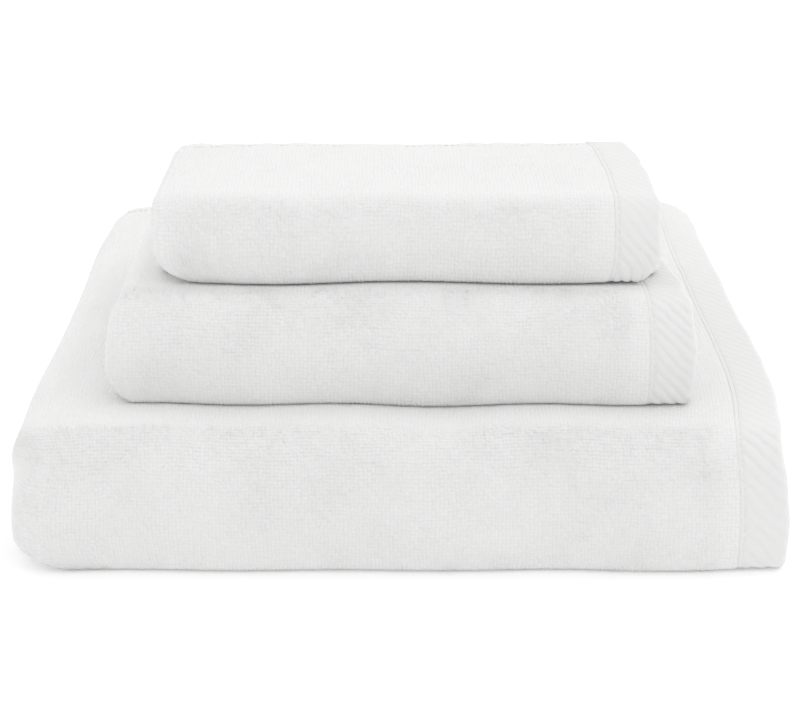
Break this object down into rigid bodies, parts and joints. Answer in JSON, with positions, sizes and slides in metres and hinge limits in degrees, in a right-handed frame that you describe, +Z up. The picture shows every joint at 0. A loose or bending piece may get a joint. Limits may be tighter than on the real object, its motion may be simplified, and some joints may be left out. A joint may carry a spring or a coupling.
{
  "type": "bath towel set",
  "caption": "Stack of folded terry towels in graded sizes, each with a rounded front fold and a diagonally ribbed border along its right side.",
  "frame": {"origin": "centre of the stack's footprint, on the surface it rests on", "axes": "+X to the hem side of the towels, -Y to the rounded front folds, +Z up the stack"},
  "size_m": [0.33, 0.3364, 0.1408],
  "materials": {
    "terry": "white cotton loop pile, soft and matt",
    "flat_weave": "white cotton flat weave with raised diagonal ribs, faint sheen",
    "sewing_thread": "white polyester thread, slight lustre",
    "label_satin": "white satin ribbon, blank"
  },
  "bodies": {
    "bath_towel": {"bath_terry": "terry", "bath_border_outer": "flat_weave", "bath_border_inner": "flat_weave", "bath_side_hem_upper": "flat_weave", "bath_side_hem_lower": "flat_weave", "bath_stitching": "sewing_thread", "bath_care_label": "label_satin"},
    "hand_towel": {"hand_terry": "terry", "hand_border_outer": "flat_weave", "hand_border_inner": "flat_weave", "hand_side_hem_upper": "flat_weave", "hand_side_hem_lower": "flat_weave", "hand_stitching": "sewing_thread", "hand_care_label": "label_satin"},
    "guest_towel": {"guest_terry": "terry", "guest_border_outer": "flat_weave", "guest_border_inner": "flat_weave", "guest_side_hem_upper": "flat_weave", "guest_side_hem_inner": "flat_weave", "guest_stitching": "sewing_thread", "guest_care_label": "label_satin"}
  },
  "joints": [
    {"name": "hand_towel_lift", "type": "slide", "parent": "bath_towel", "child": "hand_towel", "axis": [0, 0, 1], "range_m": [0, 0.15]},
    {"name": "guest_towel_lift", "type": "slide", "parent": "hand_towel", "child": "guest_towel", "axis": [0, 0, 1], "range_m": [0, 0.15]}
  ]
}
